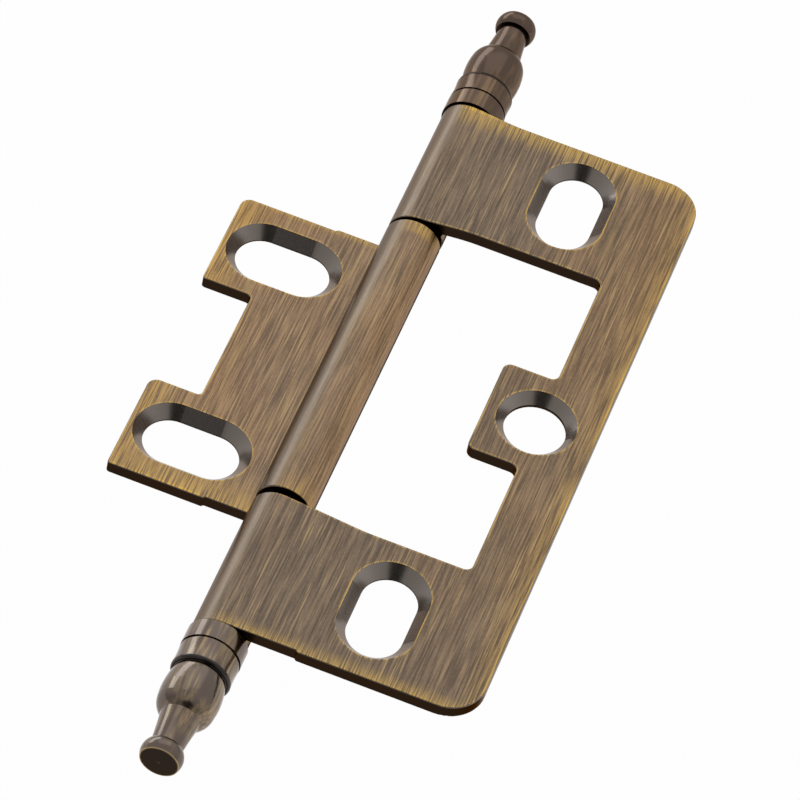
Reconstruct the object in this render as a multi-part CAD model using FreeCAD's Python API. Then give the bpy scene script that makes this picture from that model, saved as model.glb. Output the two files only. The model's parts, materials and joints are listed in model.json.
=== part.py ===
import FreeCAD, Part

import math
import os

# A non-mortise hinge, opened flat: a frame leaf with a window, a smaller door leaf that folds into
# that window, the pin that both curl around, and a turned finial on each end of the pin.
# Millimetres. Everything is drawn around the pin: X away from it, Y along it from the middle of the
# window, Z out of the face. The finished solids are then moved so that the origin is where the hinge
# is screwed to the frame.

# Sheet, barrel and pin
sheet = 1.5
barrel_radius = 3.0
pin_clearance = 0.05
bore_radius = barrel_radius - sheet
pin_radius = bore_radius - pin_clearance

# The door leaf is the small one. Widths are measured from the pin axis. As punched, the leaf sits a
# little low against its knuckle, so its middle is below the middle of the window. The upper corner of
# each of its two wings is rounder than the lower one.
door_width = 18.4
door_height = 39.9
notch_depth = 5.5
notch_height = 14.9
door_upper_corner_radius = 1.1
door_lower_corner_radius = 0.4
notch_corner_radius = 0.5
door_leaf_low = 0.93

# The frame leaf leaves room all round the folded door leaf. Above and below the window it has a band
# that carries a slot, and beside the window a rail. The two bands aren't quite equal.
lower_band = 17.24
upper_band = 16.56
rail = 6.25
nest_side_gap = 1.85
nest_end_gap = 1.25
nest_tab_gap = 1.7
nest_tab_side_gap = 1.2
frame_corner_radius = 4.0
tab_corner_radius = 0.9
window_fillet = 0.8

# Screw holes: slots with countersunk edges, and one round hole in the tab
countersink_angle = 82.0
slot_hole_radius = 2.92
slot_head_radius = 4.08
slot_half_straight = 2.2
round_hole_radius = 3.25
round_head_radius = 4.25
frame_slot_from_pin = 14.0
frame_slot_from_window = 8.52
round_hole_from_tab_edge = 5.5
door_slot_land = 0.57
door_slot_towards_notch = 0.15

# The punch leaves the strip that is rolled a little higher than the rest of each leaf, and the
# edges beside the barrel run off at a slant.
strip_width = 7.8
strip_step = 0.22
top_rise = 0.6
top_rise_width = 5.0
window_low_rise = 0.82
window_low_rise_width = 9.0
window_high_drop = 0.62
window_high_drop_width = 5.5
slant_radius = 20.0

# Knuckles: the gaps between them, and how far the curl stops short of its own leaf
lower_knuckle_gap = 0.8
upper_knuckle_gap = 0.4
seam_gap = 0.25
edge_round = 0.15

# Finials, measured outwards from the knuckle that each one sits against
finial_gap = 0.15
finial_bore_clearance = 0.02
finial_bore_depth = 6.0
pin_end_gap = 0.1
collar_radius = 3.2
collar_length = 2.1
groove_width = 0.3
groove_depth = 0.15
sleeve_radius = 3.17
sleeve_length = 2.7
sleeve_waist = 0.06
sleeve_end_round = 0.35
bulb_crease = 0.05
bulb_foot_radius = 2.78
bulb_radius = 3.1
bulb_rise = 2.5
bulb_fall = 1.45
bulb_shoulder_radius = 2.97
bulb_end = 1.35
bulb_end_radius = 2.08
neck_length = 4.05
neck_radius = 1.62
neck_waist = 0.04
cap_under_radius = 1.95
cap_radius = 2.23
cap_end_radius = 2.03
cap_length = 1.7
cap_dome = 0.12

# Values that follow from the ones above
frame_face = barrel_radius
frame_back = frame_face - sheet
door_back = -barrel_radius
door_face = door_back + sheet
window_half = door_height / 2 + nest_end_gap
window_width = door_width + nest_side_gap
frame_width = window_width + rail
tab_inner = door_width - notch_depth + nest_tab_gap
notch_half = notch_height / 2
tab_half = notch_half - nest_tab_side_gap
frame_low = -window_half - lower_band
frame_high = window_half + upper_band
door_half = door_height / 2
door_low = -door_half - door_leaf_low
door_high = door_half - door_leaf_low
notch_low = -notch_half - door_leaf_low
notch_high = notch_half - door_leaf_low
frame_slot_up = window_half + frame_slot_from_window
round_hole_x = tab_inner + round_hole_from_tab_edge
door_slot_x = -door_width + door_slot_land + slot_head_radius + slot_half_straight
door_slot_up = (notch_half + door_half) / 2 - door_slot_towards_notch
lower_end = frame_low + strip_step
upper_end = frame_high + top_rise
lower_joint = -window_half + window_low_rise
upper_joint = window_half - window_high_drop
past_barrel = barrel_radius + 1.0
seat = FreeCAD.Vector(-frame_slot_from_pin, 0, -frame_back)


def rounded_face(corners):
    """A flat face in XY through the corners (x, y, radius), each rounded by a tangent arc."""
    points = [FreeCAD.Vector(x, y, 0) for x, y, _ in corners]
    edges = []
    arcs = []
    for i, (_, _, radius) in enumerate(corners):
        here = points[i]
        back = (points[i - 1] - here).normalize()
        ahead = (points[(i + 1) % len(points)] - here).normalize()
        half_angle = back.getAngle(ahead) / 2
        run = radius / math.tan(half_angle)
        start = here + back * run
        end = here + ahead * run
        middle = here
        if radius > 0:
            inward = (back + ahead).normalize()
            middle = here + inward * (radius / math.sin(half_angle) - radius)
        arcs.append((start, middle, end, radius))
    for i, (start, middle, end, radius) in enumerate(arcs):
        if radius > 0:
            edges.append(Part.Arc(start, middle, end).toShape())
        edges.append(Part.makeLine(end, arcs[(i + 1) % len(arcs)][0]))
    return Part.Face(Part.Wire(edges))


def prism(corners, low, high):
    """The rounded outline as a solid from z = low to z = high."""
    face = rounded_face(corners)
    face.translate(FreeCAD.Vector(0, 0, low))
    return face.extrude(FreeCAD.Vector(0, 0, high - low))


def rolled_sheet(width):
    """Sheet that runs from x = width over the top of the pin and curls round to its own back."""
    reach = frame_high - frame_low
    end_angle = math.radians(360) + math.asin((frame_back - seam_gap) / barrel_radius)

    def around(radius, angle):
        return FreeCAD.Vector(radius * math.cos(angle), -reach, radius * math.sin(angle))

    top = math.radians(90)
    middle = (top + end_angle) / 2
    edges = [
        Part.makeLine(FreeCAD.Vector(width, -reach, frame_face), around(barrel_radius, top)),
        Part.Arc(
            around(barrel_radius, top), around(barrel_radius, middle), around(barrel_radius, end_angle)
        ).toShape(),
        Part.makeLine(around(barrel_radius, end_angle), around(bore_radius, end_angle)),
        Part.Arc(
            around(bore_radius, end_angle), around(bore_radius, middle), around(bore_radius, top)
        ).toShape(),
        Part.makeLine(around(bore_radius, top), FreeCAD.Vector(width, -reach, frame_back)),
        Part.makeLine(
            FreeCAD.Vector(width, -reach, frame_back), FreeCAD.Vector(width, -reach, frame_face)
        ),
    ]
    return Part.Face(Part.Wire(edges)).extrude(FreeCAD.Vector(0, 2 * reach, 0))


def long_hole(x, y, half_straight, hole_radius, head_radius, face, along):
    """A countersunk hole through a leaf. Half the straight stretch is 0 for a round hole."""
    cone_depth = (head_radius - hole_radius) / math.tan(math.radians(countersink_angle / 2))
    spare = 1.0
    slope = (head_radius - hole_radius) / cone_depth
    wide = head_radius + spare * slope
    up = FreeCAD.Vector(0, 0, 1)
    pieces = []
    for side in (-1, 1):
        centre = FreeCAD.Vector(x, y, 0) + along * (side * half_straight)
        bottom = centre + up * (face - cone_depth)
        pieces.append(Part.makeCone(hole_radius, wide, cone_depth + spare, bottom, up))
        low = centre + up * (face - sheet - spare)
        pieces.append(Part.makeCylinder(hole_radius, sheet + 2 * spare, low, up))
    if half_straight > 0:
        across = up.cross(along)
        start = FreeCAD.Vector(x, y, 0) - along * half_straight
        levels = [
            (hole_radius, face - sheet - spare),
            (hole_radius, face - cone_depth),
            (wide, face + spare),
        ]
        right = [start + across * half + up * z for half, z in levels]
        left = [start - across * half + up * z for half, z in reversed(levels)]
        outline = Part.makePolygon(right + left + right[:1])
        pieces.append(Part.Face(outline).extrude(along * (2 * half_straight)))
    hole = pieces[0].fuse(pieces[1:])
    return hole.removeSplitter()


def ease_edges(solid, heights):
    """Round the outline edges on the faces at the given heights, and the knuckle rims they run into."""
    edges = []
    for edge in solid.Edges:
        box = edge.BoundBox
        level = box.ZMax - box.ZMin < 1e-6
        on_face = any(abs(box.ZMax - height) < 1e-6 for height in heights)
        along_the_pin_line = abs(edge.CenterOfMass.x) < 1e-6
        if level and on_face and not along_the_pin_line:
            edges.append(edge)
    return solid.makeFillet(edge_round, edges)


def make_frame_leaf():
    outline = [
        (-past_barrel, lower_end, 0),
        (strip_width, lower_end, 0),
        (strip_width + strip_step, frame_low, 0),
        (frame_width, frame_low, frame_corner_radius),
        (frame_width, frame_high, frame_corner_radius),
        (top_rise_width, frame_high, slant_radius),
        (0, upper_end, slant_radius),
        (-past_barrel, upper_end, 0),
    ]
    window = [
        (-past_barrel - 1, lower_joint, 0),
        (0, lower_joint, slant_radius),
        (window_low_rise_width, -window_half, slant_radius),
        (window_width, -window_half, window_fillet),
        (window_width, -tab_half, window_fillet),
        (tab_inner, -tab_half, tab_corner_radius),
        (tab_inner, tab_half, tab_corner_radius),
        (window_width, tab_half, window_fillet),
        (window_width, window_half, window_fillet),
        (window_high_drop_width, window_half, slant_radius),
        (0, upper_joint, slant_radius),
        (-past_barrel - 1, upper_joint, 0),
    ]
    low = -past_barrel
    high = past_barrel
    leaf = rolled_sheet(frame_width).common(prism(outline, low, high))
    leaf = leaf.cut(prism(window, low - 1, high + 1)).removeSplitter()
    leaf = ease_edges(leaf, [frame_face, frame_back])
    along_pin = FreeCAD.Vector(0, 1, 0)
    holes = []
    for side in (-1, 1):
        holes.append(
            long_hole(
                frame_slot_from_pin, side * frame_slot_up, slot_half_straight,
                slot_hole_radius, slot_head_radius, frame_face, along_pin,
            )
        )
    holes.append(
        long_hole(
            round_hole_x, 0, 0,
            round_hole_radius, round_head_radius, frame_face, along_pin,
        )
    )
    leaf = leaf.cut(holes)
    return leaf.removeSplitter()


def make_door_leaf():
    # The same rolled sheet, turned half a turn about the pin so that it leaves the barrel below.
    rolled = rolled_sheet(door_width)
    rolled.rotate(FreeCAD.Vector(0, 0, 0), FreeCAD.Vector(0, 1, 0), 180)
    knuckle_low = lower_joint + lower_knuckle_gap
    knuckle_high = upper_joint - upper_knuckle_gap
    outline = [
        (past_barrel, knuckle_low, 0),
        (past_barrel, knuckle_high, 0),
        (-barrel_radius, knuckle_high, 0),
        (-barrel_radius - strip_step, door_high + strip_step, 0),
        (-strip_width, door_high + strip_step, 0),
        (-strip_width - strip_step, door_high, 0),
        (-door_width, door_high, door_upper_corner_radius),
        (-door_width, notch_high, door_lower_corner_radius),
        (-door_width + notch_depth, notch_high, notch_corner_radius),
        (-door_width + notch_depth, notch_low, notch_corner_radius),
        (-door_width, notch_low, door_upper_corner_radius),
        (-door_width, door_low, door_lower_corner_radius),
        (-strip_width - strip_step, door_low, 0),
        (-strip_width, door_low + strip_step, 0),
        (-barrel_radius - strip_step, door_low + strip_step, 0),
        (-barrel_radius, knuckle_low, 0),
    ]
    leaf = rolled.common(prism(outline, -past_barrel, past_barrel)).removeSplitter()
    leaf = ease_edges(leaf, [door_face, door_back])
    across_pin = FreeCAD.Vector(1, 0, 0)
    holes = []
    for side in (-1, 1):
        holes.append(
            long_hole(
                door_slot_x, side * door_slot_up - door_leaf_low, slot_half_straight,
                slot_hole_radius, slot_head_radius, door_face, across_pin,
            )
        )
    leaf = leaf.cut(holes)
    return leaf.removeSplitter()


def make_pin():
    low = lower_end - finial_gap - finial_bore_depth + pin_end_gap
    high = upper_end + finial_gap + finial_bore_depth - pin_end_gap
    base = FreeCAD.Vector(0, low, 0)
    return Part.makeCylinder(pin_radius, high - low, base, FreeCAD.Vector(0, 1, 0))


def arc_leaving(start, heading, end):
    """The arc that leaves start along heading and ends at end, and its heading there."""
    chord = end - start
    sideways = (chord - heading * chord.dot(heading)).normalize()
    radius = chord.dot(chord) / (2 * chord.dot(sideways))
    centre = start + sideways * radius
    outward = ((start - centre) + (end - centre)).normalize()
    middle = centre + outward * radius
    along_chord = FreeCAD.Vector(chord).normalize()
    last_heading = along_chord * (2 * heading.dot(along_chord)) - heading
    return Part.Arc(start, middle, end).toShape(), last_heading


def make_finial(base, direction):
    """A turned finial whose foot is at y = base and whose tip points along direction (1 or -1)."""

    def at(radius, distance):
        return FreeCAD.Vector(radius, base + direction * distance, 0)

    def bowed(first, middle, last):
        return Part.Arc(at(*first), at(*middle), at(*last)).toShape()

    sleeve_start = collar_length + groove_width
    sleeve_end = sleeve_start + sleeve_length
    bulb_start = sleeve_end + bulb_crease
    bulb_middle = bulb_start + bulb_rise
    shoulder = bulb_middle + bulb_fall
    neck_start = shoulder + bulb_end
    cap_start = neck_start + neck_length
    cap_end = cap_start + cap_length
    bore = pin_radius + finial_bore_clearance
    groove_radius = collar_radius - groove_depth

    # The collar with its groove, and the sleeve, which is a little waisted and rounded at its end
    foot = Part.makePolygon([
        at(bore, finial_bore_depth), at(bore, 0), at(collar_radius, 0),
        at(collar_radius, collar_length), at(groove_radius, collar_length),
        at(groove_radius, sleeve_start), at(sleeve_radius, sleeve_start),
    ])
    edges = foot.Edges
    round_start = sleeve_end - sleeve_end_round
    round_foot = sleeve_radius - sleeve_end_round
    quarter = math.sin(math.radians(45)) * sleeve_end_round
    edges.append(
        bowed(
            (sleeve_radius, sleeve_start),
            (sleeve_radius - sleeve_waist, (sleeve_start + round_start) / 2),
            (sleeve_radius, round_start),
        )
    )
    edges.append(
        bowed(
            (sleeve_radius, round_start),
            (round_foot + quarter, round_start + quarter),
            (round_foot, sleeve_end),
        )
    )
    edges.append(Part.makeLine(at(round_foot, sleeve_end), at(bulb_foot_radius, bulb_start)))

    # The bulb, in three arcs that run smoothly into each other
    outward = FreeCAD.Vector(0, direction, 0)
    widest = at(bulb_radius, bulb_middle)
    rise, _ = arc_leaving(widest, outward * -1, at(bulb_foot_radius, bulb_start))
    fall, heading = arc_leaving(widest, outward, at(bulb_shoulder_radius, shoulder))
    turn_in, _ = arc_leaving(
        at(bulb_shoulder_radius, shoulder), heading, at(bulb_end_radius, neck_start)
    )
    edges += [rise, fall, turn_in]

    # The neck and the cap
    neck_middle = (bulb_end_radius + neck_radius) / 2 - neck_waist
    edges.append(
        bowed(
            (bulb_end_radius, neck_start),
            (neck_middle, neck_start + neck_length / 2),
            (neck_radius, cap_start),
        )
    )
    edges.append(Part.makeLine(at(neck_radius, cap_start), at(cap_under_radius, cap_start)))
    edges.append(
        bowed(
            (cap_under_radius, cap_start),
            (cap_radius, cap_start + cap_length * 0.6),
            (cap_end_radius, cap_end),
        )
    )
    end = Part.makePolygon([
        at(cap_end_radius, cap_end), at(0, cap_end + cap_dome),
        at(0, finial_bore_depth), at(bore, finial_bore_depth),
    ])
    edges += end.Edges
    profile = Part.Face(Part.Wire(Part.__sortEdges__(edges)))
    return profile.revolve(FreeCAD.Vector(0, 0, 0), FreeCAD.Vector(0, 1, 0), 360)


nodes = {
    "frame_leaf": make_frame_leaf(),
    "door_leaf": make_door_leaf(),
    "hinge_pin": make_pin(),
    "upper_finial": make_finial(upper_end + finial_gap, 1),
    "lower_finial": make_finial(lower_end - finial_gap, -1),
}

os.makedirs("parts", exist_ok=True)
for name, shape in nodes.items():
    shape.translate(seat)
    solids = shape.Solids
    print(name, "solids", len(solids), "valid", shape.isValid(), "volume", round(shape.Volume, 2))
    shape.exportStep(os.path.join("parts", name + ".step"))
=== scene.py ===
# %% [markdown]
# A non-mortise hinge in antique brass, opened flat.
# The solids come ready from the CAD model, so this lesson is about finish and light: sheet metal
# that was plated, darkened and then brushed along the pin, so that brass shows in fine streaks and
# on every edge that the brush rubs, and turned finials that were only polished and lacquered.

# %% Load the hinge
import json
import math

import bpy
from mathutils import Matrix, Vector


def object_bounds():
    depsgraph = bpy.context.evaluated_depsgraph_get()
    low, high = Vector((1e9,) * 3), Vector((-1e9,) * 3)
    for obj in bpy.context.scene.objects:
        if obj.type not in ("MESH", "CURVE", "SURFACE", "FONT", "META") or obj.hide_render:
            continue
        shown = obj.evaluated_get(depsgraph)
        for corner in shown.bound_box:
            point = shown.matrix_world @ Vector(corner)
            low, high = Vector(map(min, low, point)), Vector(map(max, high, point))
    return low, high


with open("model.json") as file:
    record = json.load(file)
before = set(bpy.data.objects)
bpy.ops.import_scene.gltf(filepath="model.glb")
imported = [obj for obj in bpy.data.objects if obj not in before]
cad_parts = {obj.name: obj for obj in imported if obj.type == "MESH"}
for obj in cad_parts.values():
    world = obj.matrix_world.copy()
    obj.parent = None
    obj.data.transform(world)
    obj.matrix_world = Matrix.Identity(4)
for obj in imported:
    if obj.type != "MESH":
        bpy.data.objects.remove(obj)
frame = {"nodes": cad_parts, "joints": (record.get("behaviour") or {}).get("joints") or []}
cad_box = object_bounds()
print("pieces:", sorted(frame["nodes"]))

# %% [markdown]
# Blender works in metres and a hinge is easier to think of in millimetres. The joint that comes with
# the model says where the pin is. Patterns and masks are measured from that line, because the leaves
# and the barrel are brushed and worn around it.

# %% Units and the pin
MM = 0.001
PIN = Vector(frame["joints"][0]["pos_m"])
print("pin axis at", [round(c / MM, 2) for c in PIN], "mm")

# %% [markdown]
# The camera stands where the photographer's did. It looks down at 49 degrees from the lower end of
# the pin and is rolled by 13 degrees. A long lens from 608 mm away keeps the far end of the hinge
# nearly as large as the near end, as in the photograph.

# %% Camera
CAMERA_AZIMUTH = math.radians(-80.732)
CAMERA_ELEVATION = math.radians(49.399)
CAMERA_ROLL = math.radians(13.377)
CAMERA_DISTANCE = 607.92 * MM
CAMERA_AIM = PIN + Vector((6.027, -1.009, 0.0)) * MM
SENSOR_WIDTH = 36.0
LENS = 267.44


def direction(azimuth, elevation):
    """The unit vector that points towards a place in the sky."""
    level = math.cos(elevation)
    return Vector((level * math.cos(azimuth), level * math.sin(azimuth), math.sin(elevation)))


towards_camera = direction(CAMERA_AZIMUTH, CAMERA_ELEVATION)
camera_data = bpy.data.cameras.new("photo_camera")
camera_data.sensor_width = SENSOR_WIDTH
camera_data.lens = LENS
camera_data.clip_start = 10 * MM
camera_data.clip_end = 20.0
camera = bpy.data.objects.new("photo_camera", camera_data)
bpy.context.scene.collection.objects.link(camera)
turn = towards_camera.to_track_quat("Z", "Y").to_matrix().to_4x4()
place = Matrix.Translation(CAMERA_AIM + towards_camera * CAMERA_DISTANCE)
camera.matrix_world = place @ turn @ Matrix.Rotation(CAMERA_ROLL, 4, "Z")
bpy.context.scene.camera = camera
print("camera at", [round(c / MM, 1) for c in camera.matrix_world.translation], "mm")

# %% [markdown]
# A surface recipe is a network of nodes. Written node by node it is long and hard to read, so two
# small helpers come first. A Wire is one output of a node: adding or multiplying wires adds the
# Math nodes. A Recipe is one material, and its add method makes any other node.

# %% Wires that do sums
class Wire:
    def __init__(self, recipe, socket):
        self.recipe = recipe
        self.socket = socket

    def maths(self, operation, *values):
        inputs = dict(enumerate((self, *values)))
        return self.recipe.add("ShaderNodeMath", {"operation": operation}, inputs)

    def __add__(self, other):
        return self.maths("ADD", other)

    __radd__ = __add__

    def __sub__(self, other):
        return self.maths("SUBTRACT", other)

    def __rsub__(self, other):
        return self.recipe.add("ShaderNodeMath", {"operation": "SUBTRACT"}, {0: other, 1: self})

    def __mul__(self, other):
        return self.maths("MULTIPLY", other)

    __rmul__ = __mul__

    def smallest(self, other):
        return self.maths("MINIMUM", other)

    def largest(self, other):
        return self.maths("MAXIMUM", other)

    def size(self):
        return self.maths("ABSOLUTE")

    def root(self):
        return self.maths("SQRT")

    def rise(self, low, high):
        """0 below low, 1 above high, and a soft climb between them."""
        settings = {"interpolation_type": "SMOOTHSTEP"}
        inputs = {"Value": self, "From Min": low, "From Max": high}
        return self.recipe.add("ShaderNodeMapRange", settings, inputs)


# %% A recipe for one surface
class Recipe:
    def __init__(self, name):
        self.material = bpy.data.materials.new(name)
        self.material.use_nodes = True
        self.tree = self.material.node_tree
        self.tree.nodes.clear()

    def add(self, kind, settings=None, inputs=None, output=0):
        """Add a node, set it up, feed its sockets with values or wires, and return an output."""
        node = self.tree.nodes.new(kind)
        for name, value in (settings or {}).items():
            setattr(node, name, value)
        for name, value in (inputs or {}).items():
            if isinstance(value, Wire):
                self.tree.links.new(value.socket, node.inputs[name])
            else:
                node.inputs[name].default_value = value
        return Wire(self, node.outputs[output])

    def scaled_place(self, scale, shift=(0, 0, 0)):
        """Object coordinates from the pin, in millimetres, times a scale along each axis."""
        place = self.add("ShaderNodeTexCoord", output="Object")
        per_mm = [s / MM for s in scale]
        moved = [-p * k + s for p, k, s in zip(PIN, per_mm, shift)]
        return self.add("ShaderNodeMapping", None, {"Vector": place, "Location": moved, "Scale": per_mm})

    def noise(self, scale, detail=2.0, roughness=0.5, shift=(0, 0, 0)):
        """Noise with so many waves for each millimetre along X, Y and Z."""
        inputs = {"Vector": self.scaled_place(scale, shift), "Scale": 1.0}
        inputs.update({"Detail": detail, "Roughness": roughness})
        return self.add("ShaderNodeTexNoise", None, inputs)

    def blend(self, amount, first, second, way="MIX"):
        """Mix two colours, each a wire or three numbers."""
        settings = {"data_type": "RGBA", "blend_type": way}
        colours = [c if isinstance(c, Wire) else (*c, 1.0) for c in (first, second)]
        return self.add("ShaderNodeMix", settings, {0: amount, 6: colours[0], 7: colours[1]}, 2)

    def finish(self, fixed, varying):
        """Make the shader, from plain settings and from wires, and return the material."""
        inputs = {**fixed, **varying}
        surface = self.add("ShaderNodeBsdfPrincipled", None, inputs)
        self.add_output(surface)
        return self.material

    def add_output(self, surface):
        end = self.tree.nodes.new("ShaderNodeOutputMaterial")
        self.tree.links.new(surface.socket, end.inputs["Surface"])


print("node helpers ready")

# %% [markdown]
# Both leaves were plated in brass, stained dark, brushed along the pin and lacquered. The brush cut
# the stain thinner in long, hair-fine lines, and it rubbed the outer edges through to brass. It
# hardly reached the flanks of the barrel and never the holes and the cut edges, so they stay plain.
# One recipe serves both leaves. It is written in small steps: where the brush reached, how the
# lines run, how the edges wear, and the colours at the end. The barrel also gets painted light:
# painted light on its right flank, a painted cool grey reflection on its left flank, and a painted
# shade line along its right edge.

# %% Colours of the finish
# Linear colours, as a shader takes them
DARK_STAIN = (0.098, 0.073, 0.054)
PALE_STAIN = (0.232, 0.168, 0.112)
GOLD = (0.470, 0.325, 0.150)
BRIGHT_GOLD = (0.620, 0.390, 0.085)
# Dark cut edges and knuckle ends; the same colour is also painted shade along the barrel's right edge
CUT_EDGE_AND_PAINTED_SHADE = (0.022, 0.013, 0.008)
HOLE_STAIN = (0.262, 0.226, 0.200)
FINIAL_STAIN = (0.110, 0.080, 0.062)
# Painted shade and dark reflection on the finials' end faces and the sleeve's rounded end
END_PAINTED_SHADE = (0.020, 0.014, 0.010)
# These multiply the stain where it is warmer, or cooler
OUTER_TINT = (1.30, 1.14, 0.88)
FRAME_TINT = (0.98, 0.97, 0.97)
DOOR_TINT = (1.26, 1.16, 1.06)
# The barrel's right flank looks along +X, its left flank along -X
# Painted light that brightens the barrel's right flank
RIGHT_FLANK_PAINTED_LIGHT = (1.60, 1.52, 1.36)
# Painted cool grey reflection on the left flank of each leaf's barrel
FRAME_LEFT_FLANK_PAINTED_REFLECTION = (1.12, 1.18, 1.26)
DOOR_LEFT_FLANK_PAINTED_REFLECTION = (0.78, 0.90, 1.05)
UPPER_FINIAL_TINT = (0.84, 0.76, 0.72)
# What both metals turn towards where they are seen at a slant
STAINED_SPECULAR_TINT = (0.55, 0.47, 0.42, 1.0)
print("eight colours, from", DARK_STAIN, "to", BRIGHT_GOLD)


# %% Where the brush reached
# How far from the pin's axis, in millimetres, the barrel fades into the flat sheet
BARREL_FADE = (3.02, 3.20)
# How level a face is: 1 is a face that looks straight up or down, 0 is an upright one
FLAT_FACE = (0.72, 0.90)
UPRIGHT_FACE = (0.25, 0.45)
# How much a face looks along the pin, as the ends of the knuckles do
END_FACE = (0.80, 0.95)


def split_vector(recipe, vector):
    node = recipe.tree.nodes.new("ShaderNodeSeparateXYZ")
    recipe.tree.links.new(vector.socket, node.inputs[0])
    return [Wire(recipe, output) for output in node.outputs]


def brushed_places(recipe):
    """Masks: brushed brass, the barrel's two flanks, its painted shade line along the right edge, holes,
    and cut edges.
    """
    x, _, z = split_vector(recipe, recipe.scaled_place((1, 1, 1)))
    from_pin = (x * x + z * z).root()
    barrel = 1 - from_pin.rise(*BARREL_FADE)
    normal = recipe.add("ShaderNodeTexCoord", output="Normal")
    outward, along, level = split_vector(recipe, normal)
    flat = level.size().rise(*FLAT_FACE)
    top = (level * 0.85 + outward * 0.45).rise(0.45, 0.92)
    reached = flat + (top - flat) * barrel
    flanks = [(outward * side).rise(0.05, 0.75) * barrel for side in (1, -1)]
    # Painted shade: a dark line along the barrel's right edge, where its faces turn sideways
    painted_shade_line = level.rise(-0.35, -0.10) * (1 - level.rise(0.02, 0.27))
    painted_shade_line = painted_shade_line * outward.rise(0.5, 0.8) * barrel
    hole = (1 - flat) * (1 - barrel)
    upright = (1 - level.size().rise(*UPRIGHT_FACE)) * (1 - barrel)
    upright = upright.largest(along.size().rise(*END_FACE))
    return reached, flanks, painted_shade_line, hole, upright


# %% Brush lines
# Each kind has so many lines to a millimetre, changes so many times along a millimetre of its
# length, and is shifted so that no two kinds share their lines.
FINE_LINES = (3.9, 0.14, (0, 0, 0))
LONG_LINES = (4.2, 0.09, (7, 3, 1))
HAIR_LINES = (6.0, 0.16, (5, 1, 8))
# The depth of the marks that the brush and the lathe left
RELIEF = 0.01 * MM
# How far towards brass the long lines and the hair lines go
LONG_GOLD = 0.60
HAIR_GOLD = 0.45


def brush_lines(recipe, across, along, shift):
    return recipe.noise((across, along, across), 2.0, 0.6, shift)


# %% Rubbed edges
# The Bevel node looks round each point for other faces. Where it finds one, its normal leans
# away from the true one, and that marks a band along every edge.
# How far from an edge the wear reaches, in millimetres
LEAF_WEAR = 0.45
RIM_WEAR = 0.25


def near_an_edge(recipe, reach):
    """1 at an edge, falling to 0 at reach millimetres from it."""
    leaning = recipe.add("ShaderNodeBevel", {"samples": 8}, {"Radius": reach * MM})
    true = recipe.add("ShaderNodeNewGeometry", output="Normal")
    pair = {0: leaning, 1: true}
    agreement = recipe.add("ShaderNodeVectorMath", {"operation": "DOT_PRODUCT"}, pair, "Value")
    return (1 - agreement).rise(0.0005, 0.05)


def near_a_line(recipe, axis, place, towards, fade):
    """1 at a straight edge of the outline, falling to 0 at fade millimetres inside it."""
    coordinate = split_vector(recipe, recipe.scaled_place((1, 1, 1)))[axis]
    inside = (coordinate - place) * towards
    return 1 - inside.rise(0.0, fade)


# %% The recipe for a leaf
def brushed_brass(name, tint, left_flank_painted_reflection, warm_side, gold_from, rubbed_lines):
    recipe = Recipe(name)
    reached, (right_flank, left_flank), painted_shade_line, hole, upright = brushed_places(recipe)
    fine = brush_lines(recipe, *FINE_LINES)
    long = brush_lines(recipe, *LONG_LINES)
    hair = brush_lines(recipe, *HAIR_LINES)
    grain = recipe.noise((3.9, 2.4, 3.9), 2.0, 0.7, (3, 9, 5))
    cloud = recipe.noise((0.16, 0.07, 0.16), 2.0, 0.5, (1, 4, 2))

    thin = (fine * 0.36 + hair * 0.50 + grain * 0.14).rise(0.38, 0.63)
    # The streaks are evened out on the left flank, under the painted grey reflection there
    thin = thin + (0.45 - thin) * left_flank * 0.8
    colour = recipe.blend(thin, DARK_STAIN, PALE_STAIN)
    x, y, _ = split_vector(recipe, recipe.scaled_place((1, 1, 1)))
    warm = x.rise(*warm_side) * (0.35 + y.rise(-40, 40) * 0.65) + (cloud - 0.5)
    colour = recipe.blend(warm.largest(0.0).smallest(1.0), colour, OUTER_TINT, "MULTIPLY")
    # Painted light on the barrel's right flank, and a painted cool grey reflection on its left flank
    colour = recipe.blend(right_flank, colour, RIGHT_FLANK_PAINTED_LIGHT, "MULTIPLY")
    colour = recipe.blend(left_flank, colour, left_flank_painted_reflection, "MULTIPLY")
    colour = recipe.blend(1.0, colour, tint, "MULTIPLY")
    gold_lines = long.rise(gold_from, 0.72) * LONG_GOLD
    gold_lines = gold_lines.largest(hair.rise(gold_from + 0.02, 0.74) * HAIR_GOLD)
    colour = recipe.blend(gold_lines * reached, colour, GOLD)

    worn = near_an_edge(recipe, LEAF_WEAR)
    for axis, place, towards, fade, strength in rubbed_lines:
        worn = worn.largest(near_a_line(recipe, axis, place, towards, fade) * strength)
    worn = worn * (0.05 + hair.rise(0.38, 0.60)) * reached
    colour = recipe.blend(worn.smallest(1.0), colour, BRIGHT_GOLD)
    colour = recipe.blend(hole, colour, HOLE_STAIN)
    # Cut edges and knuckle ends get their dark colour, and the barrel's right edge gets painted shade
    colour = recipe.blend(upright.largest(painted_shade_line), colour, CUT_EDGE_AND_PAINTED_SHADE)

    relief = recipe.add("ShaderNodeBump", None,
                        {"Strength": 0.25, "Distance": RELIEF, "Height": fine * reached})
    fixed = {"Metallic": 1.0, "Coat Roughness": 0.15, "Coat IOR": 1.45,
             "Specular Tint": STAINED_SPECULAR_TINT}
    varying = {"Base Color": colour, "Normal": relief,
               "Roughness": 0.32 + fine * 0.10 - hole * 0.15 + painted_shade_line * 0.40,
               "Coat Weight": (1 - upright.largest(painted_shade_line)) * 0.25}
    return recipe.finish(fixed, varying)


# %% [markdown]
# The edges that are rubbed brightest are straight, so each is given by the axis that it crosses, its
# place from the pin in millimetres, which way the leaf lies, how far the rubbing fades in, and its
# strength.

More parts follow.
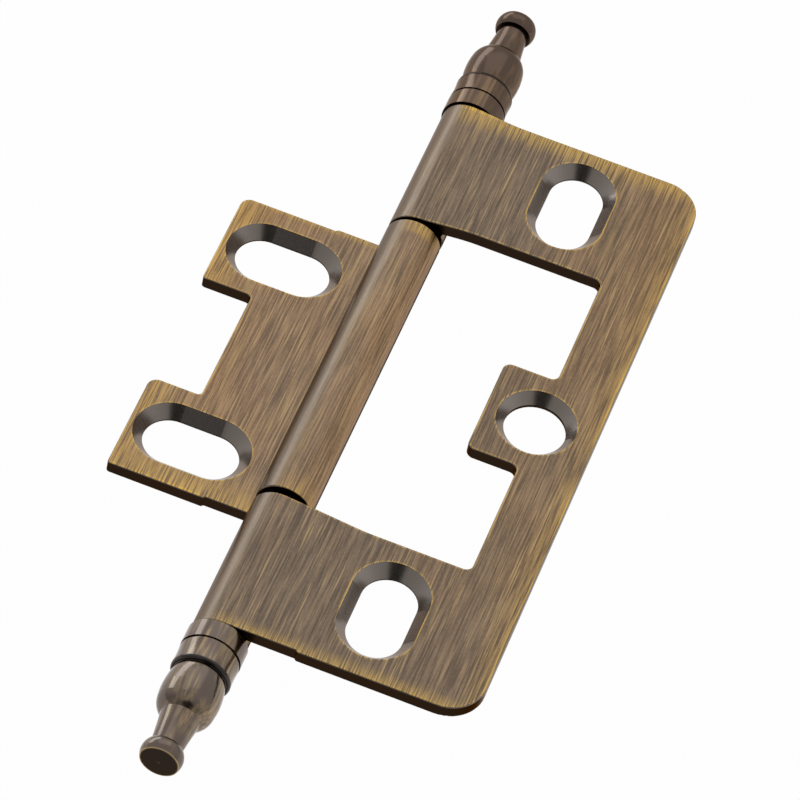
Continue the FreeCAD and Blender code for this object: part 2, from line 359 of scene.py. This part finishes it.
# %% Finish of the two leaves
FRAME_RUBBED = [
    (1, 37.9, -1, 0.6, 1.20),
    (1, 37.9, -1, 3.2, 0.68),
    (0, 26.5, -1, 0.6, 0.80),
    (0, 26.5, -1, 3.0, 0.25),
    (1, -38.44, 1, 2.0, 0.50),
]
DOOR_RUBBED = [
    (0, -18.4, 1, 4.5, 0.46),
    (1, -20.88, 1, 0.8, 1.00),
    (1, -20.88, 1, 5.0, 0.50),
    (1, 19.02, -1, 0.9, 0.50),
]
frame_finish = brushed_brass("frame_leaf_antique_brass", FRAME_TINT, FRAME_LEFT_FLANK_PAINTED_REFLECTION,
                             (6, 26), 0.60, FRAME_RUBBED)
door_finish = brushed_brass("door_leaf_antique_brass", DOOR_TINT, DOOR_LEFT_FLANK_PAINTED_REFLECTION,
                            (-3, -18), 0.54, DOOR_RUBBED)
print("made", frame_finish.name, "and", door_finish.name)

# %% [markdown]
# The finials were turned and polished, not brushed. Their stain is dark and glossy. Brass shows
# through in a few streaks that run along the pin, and round the rim of the cap. The end faces and
# the rounded end of the sleeve are painted near-black, as painted shade and dark reflection. In the
# photograph the upper finial is a little darker and duller than the lower one.


# %% Turned brass
# Places along the pin, in millimetres from its middle
SLEEVE_END = 43.4
CAP_RIM = 54.6


def turned_brass(name):
    recipe = Recipe(name)
    cloud = recipe.noise((0.30, 0.16, 0.30), 2.0, 0.5)
    streaks = recipe.noise((2.6, 0.16, 2.6), 2.0, 0.6, (4, 2, 7))
    height = split_vector(recipe, recipe.scaled_place((1, 1, 1)))[1]
    upper = height.rise(-1, 1)
    rubbed = cloud.rise(0.40, 0.62) * streaks.rise(0.36, 0.72)
    colour = recipe.blend(rubbed * (0.55 - upper * 0.25), FINIAL_STAIN, GOLD)
    colour = recipe.blend(upper, colour, UPPER_FINIAL_TINT, "MULTIPLY")

    along_pin = height.size()
    facing = recipe.add("ShaderNodeTexCoord", output="Normal")
    end_face = split_vector(recipe, facing)[1].size().rise(0.80, 0.96)
    sleeve_end = 1 - (along_pin - SLEEVE_END).size().rise(0.25, 0.40)
    # Painted shade and dark reflection on the end faces and the rounded end of the sleeve
    colour = recipe.blend(end_face.largest(sleeve_end), colour, END_PAINTED_SHADE)
    rim = near_an_edge(recipe, RIM_WEAR) * along_pin.rise(CAP_RIM - 0.6, CAP_RIM - 0.4)
    colour = recipe.blend(rim * 0.8, colour, GOLD)

    rings = recipe.noise((0.2, 9.0, 0.2), 2.0, 0.5)
    relief = recipe.add("ShaderNodeBump", None,
                        {"Strength": 0.08, "Distance": RELIEF, "Height": rings})
    fixed = {"Metallic": 1.0, "Coat Roughness": 0.06, "Coat IOR": 1.45,
             "Specular Tint": STAINED_SPECULAR_TINT}
    varying = {"Base Color": colour, "Roughness": 0.17 + cloud * 0.12, "Normal": relief,
               "Coat Weight": 0.9 - end_face * 0.8 - upper * 0.6}
    return recipe.finish(fixed, varying)


finial_finish = turned_brass("finial_antique_brass")
pin_finish = turned_brass("pin_steel")
print("made", finial_finish.name, "and", pin_finish.name)

# %% Give each piece its finish
FINISHES = {
    "frame_leaf": frame_finish,
    "door_leaf": door_finish,
    "hinge_pin": pin_finish,
    "upper_finial": finial_finish,
    "lower_finial": finial_finish,
}
for node, finish in FINISHES.items():
    piece = frame["nodes"][node]
    for material_slot in piece.material_slots:
        material_slot.material = finish
    print(node, "has", finish.name)

# %% [markdown]
# The studio: a plain pale floor some way below the hinge, since the hinge is made to be screwed to a
# frame and the photograph shows it on nothing. The light comes from above and behind, as from one
# large window, with a small cool lamp low on the left that makes the pale line along the barrel.

# %% Floor
FLOOR_DROP = 45 * MM
FLOOR_HALF = 3.0
# How evenly white the floor is where the camera sees it, straight or in the metal
FLOOR_GLOW = 0.97


def make_floor():
    height = cad_box[0][2] - FLOOR_DROP
    corners = [(-1, -1), (1, -1), (1, 1), (-1, 1)]
    points = [(x * FLOOR_HALF, y * FLOOR_HALF, height) for x, y in corners]
    mesh = bpy.data.meshes.new("floor")
    mesh.from_pydata(points, [], [(0, 1, 2, 3)])
    floor = bpy.data.objects.new("floor", mesh)
    bpy.context.scene.collection.objects.link(floor)
    recipe = Recipe("pale_floor")
    paint = recipe.add("ShaderNodeBsdfDiffuse", None, {"Color": (0.82, 0.82, 0.82, 1)})
    glow = recipe.add("ShaderNodeEmission", None, {"Color": (1, 1, 1, 1), "Strength": 1.0})
    seen = recipe.add("ShaderNodeLightPath", output="Is Camera Ray")
    mirrored = recipe.add("ShaderNodeLightPath", output="Is Glossy Ray")
    through = recipe.add("ShaderNodeLightPath", output="Is Transmission Ray")
    amount = (seen + mirrored + through).smallest(1.0) * FLOOR_GLOW
    recipe.add_output(recipe.add("ShaderNodeMixShader", None, {0: amount, 1: paint, 2: glow}))
    mesh.materials.append(recipe.material)


make_floor()
print("floor", round(FLOOR_DROP / MM), "mm below the hinge")


# %% Lamps
def soft_lamp(name, azimuth, elevation, distance, size, power, colour):
    """A flat lamp that looks at the pin. Its place is in degrees round and up, and in metres."""
    data = bpy.data.lights.new(name, "AREA")
    data.shape = "RECTANGLE"
    data.size, data.size_y = size
    data.energy = power
    data.color = colour
    lamp = bpy.data.objects.new(name, data)
    bpy.context.scene.collection.objects.link(lamp)
    away = direction(math.radians(azimuth), math.radians(elevation))
    turn = away.to_track_quat("Z", "Y").to_matrix().to_4x4()
    lamp.matrix_world = Matrix.Translation(PIN + away * distance) @ turn


WHITE = (1.0, 1.0, 1.0)
COOL_WHITE = (0.86, 0.94, 1.0)
soft_lamp("back_softbox", 99, 50, 1.0, (1.0, 0.7), 1.0, WHITE)
soft_lamp("left_softbox", 138, 14, 0.9, (0.75, 0.30), 1.7, COOL_WHITE)
print("two lamps")

# %% [markdown]
# The world gives the rest of the light. It is bright behind the hinge and dim on the camera's side,
# with one darker patch where the photographer stands. The polished bevels of the screw holes face
# that way, and the dark mark in the middle of each is the mirror image of that patch.

# %% Light all round
# Where the light is brightest, and how far the change from dim to bright is spread round it
BRIGHT_SIDE = (0.0, 0.85, 0.53)
SPREAD = (-0.45, 0.45)
STRENGTH_BEHIND = 0.80
STRENGTH_AT_CAMERA = 0.45
PHOTOGRAPHER = direction(CAMERA_AZIMUTH, math.radians(33))
PATCH_EDGE = (math.cos(math.radians(24)), math.cos(math.radians(13)))
PATCH_SHARE = 0.08


def light_all_round():
    world = bpy.data.worlds.new("studio")
    world.use_nodes = True
    sky = world.node_tree
    ray = sky.nodes.new("ShaderNodeTexCoord")

    def ramp(towards, edges, values):
        facing = sky.nodes.new("ShaderNodeVectorMath")
        facing.operation = "DOT_PRODUCT"
        facing.inputs[1].default_value = towards
        fade = sky.nodes.new("ShaderNodeMapRange")
        fade.interpolation_type = "SMOOTHSTEP"
        fade.inputs["From Min"].default_value, fade.inputs["From Max"].default_value = edges
        fade.inputs["To Min"].default_value, fade.inputs["To Max"].default_value = values
        sky.links.new(ray.outputs["Generated"], facing.inputs[0])
        sky.links.new(facing.outputs["Value"], fade.inputs["Value"])
        return fade.outputs["Result"]

    strength = sky.nodes.new("ShaderNodeMath")
    strength.operation = "MULTIPLY"
    wide = ramp(BRIGHT_SIDE, SPREAD, (STRENGTH_AT_CAMERA, STRENGTH_BEHIND))
    sky.links.new(wide, strength.inputs[0])
    sky.links.new(ramp(PHOTOGRAPHER, PATCH_EDGE, (1.0, PATCH_SHARE)), strength.inputs[1])
    background = sky.nodes["Background"]
    background.inputs["Color"].default_value = (1.0, 1.0, 1.0, 1.0)
    sky.links.new(strength.outputs["Value"], background.inputs["Strength"])
    bpy.context.scene.world = world


light_all_round()
bpy.context.scene.view_settings.view_transform = "Standard"
print("world from", STRENGTH_AT_CAMERA, "to", STRENGTH_BEHIND)
